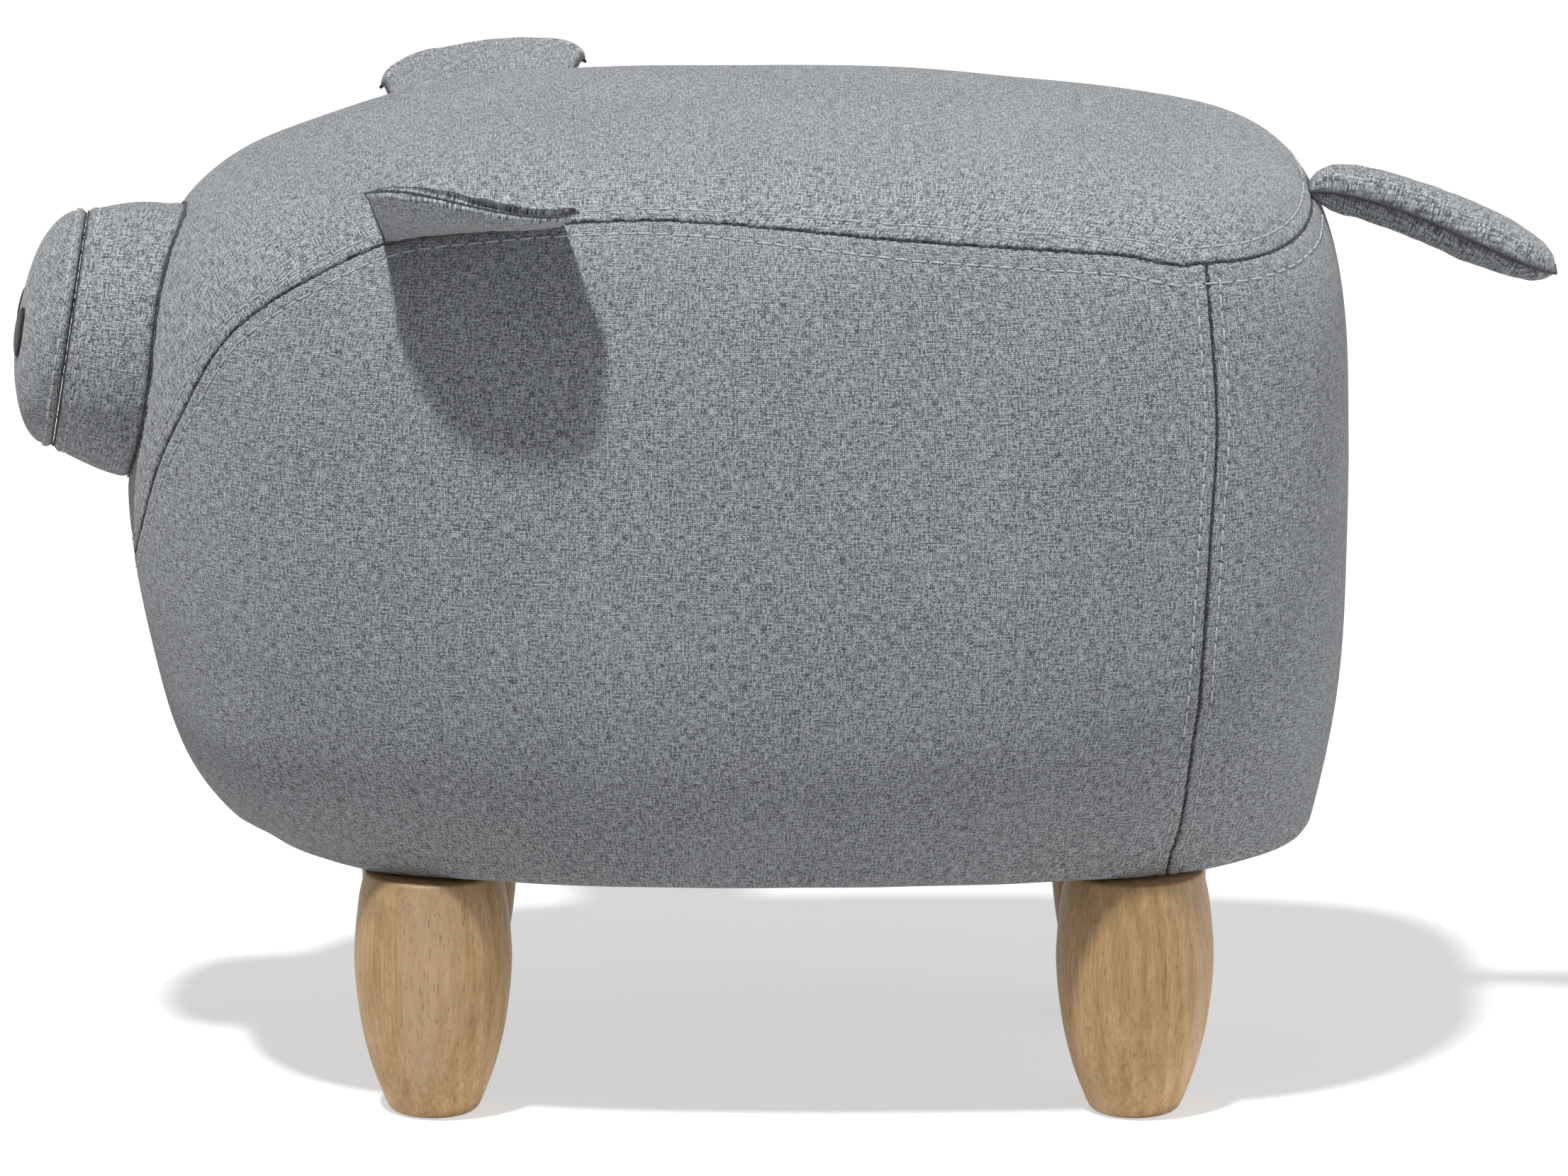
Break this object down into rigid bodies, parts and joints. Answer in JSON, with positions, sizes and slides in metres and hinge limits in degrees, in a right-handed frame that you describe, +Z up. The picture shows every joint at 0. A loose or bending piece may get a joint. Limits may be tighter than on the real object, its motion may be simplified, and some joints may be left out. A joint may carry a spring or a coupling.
{
  "type": "footstool",
  "caption": "Upholstered footstool in the shape of a standing pig, with a padded grey body, snout, ears and tail on turned wooden legs.",
  "frame": {"origin": "on the floor, under the middle of the overall length and width", "axes": "+X towards the tail, +Y towards the animal's right side, +Z up"},
  "size_m": [0.6015, 0.3325, 0.3935],
  "materials": {
    "grey_cloth": "matt melange plain weave",
    "black_cloth": "matt black",
    "lining": "matt black non-woven",
    "filling": "loose white fibre",
    "foam": "open-cell foam",
    "frame_wood": "raw plywood",
    "leg_wood": "satin lacquer",
    "steel": "zinc plated"
  },
  "bodies": {
    "stool": {"base_board": "frame_wood", "base_screw_front_left": "steel", "base_screw_front_right": "steel", "base_screw_rear_left": "steel", "base_screw_rear_right": "steel", "corner_block_front_left": "frame_wood", "corner_block_front_right": "frame_wood", "corner_block_rear_left": "frame_wood", "corner_block_rear_right": "frame_wood", "dust_cover": "lining", "front_board": "frame_wood", "head_foam": "foam", "leg_bolt_front_left": "steel", "leg_bolt_front_right": "steel", "leg_bolt_rear_left": "steel", "leg_bolt_rear_right": "steel", "leg_front_left": "leg_wood", "leg_front_right": "leg_wood", "leg_nut_front_left": "steel", "leg_nut_front_right": "steel", "leg_nut_rear_left": "steel", "leg_nut_rear_right": "steel", "leg_rear_left": "leg_wood", "leg_rear_right": "leg_wood", "nostril_left": "black_cloth", "nostril_right": "black_cloth", "rear_board": "frame_wood", "rear_foam": "foam", "rear_panel": "grey_cloth", "seat_board": "frame_wood", "seat_foam": "foam", "seat_screw_front_left": "steel", "seat_screw_front_right": "steel", "seat_screw_rear_left": "steel", "seat_screw_rear_right": "steel", "side_board_left": "frame_wood", "side_board_right": "frame_wood", "side_foam_left": "foam", "side_foam_right": "foam", "side_panel_left": "grey_cloth", "side_panel_right": "grey_cloth", "snout_cap": "grey_cloth", "snout_filling": "filling", "snout_sleeve": "grey_cloth", "top_panel": "grey_cloth"},
    "ear_left": {"ear_left_filling": "filling", "ear_left_lower_cover": "grey_cloth", "ear_left_upper_cover": "grey_cloth"},
    "ear_right": {"ear_right_filling": "filling", "ear_right_lower_cover": "grey_cloth", "ear_right_upper_cover": "grey_cloth"},
    "tail": {"tail_filling": "filling", "tail_lower_cover": "grey_cloth", "tail_upper_cover": "grey_cloth"}
  },
  "joints": [
    {"name": "ear_left_flap", "type": "hinge", "parent": "stool", "child": "ear_left", "pos_m": [-0.119, -0.10839, 0.36204], "axis": [-0.985, 0.1043, -0.1376], "range_deg": [-10, 20], "stiffness_Nm_per_rad": 0.1},
    {"name": "ear_right_flap", "type": "hinge", "parent": "stool", "child": "ear_right", "pos_m": [-0.119, 0.10839, 0.36204], "axis": [0.985, 0.1043, 0.1376], "range_deg": [-10, 20], "stiffness_Nm_per_rad": 0.1},
    {"name": "tail_bend", "type": "hinge", "parent": "stool", "child": "tail", "pos_m": [0.2066, 0, 0.353], "axis": [0, -1, 0], "range_deg": [-10, 35], "stiffness_Nm_per_rad": 0.6}
  ]
}
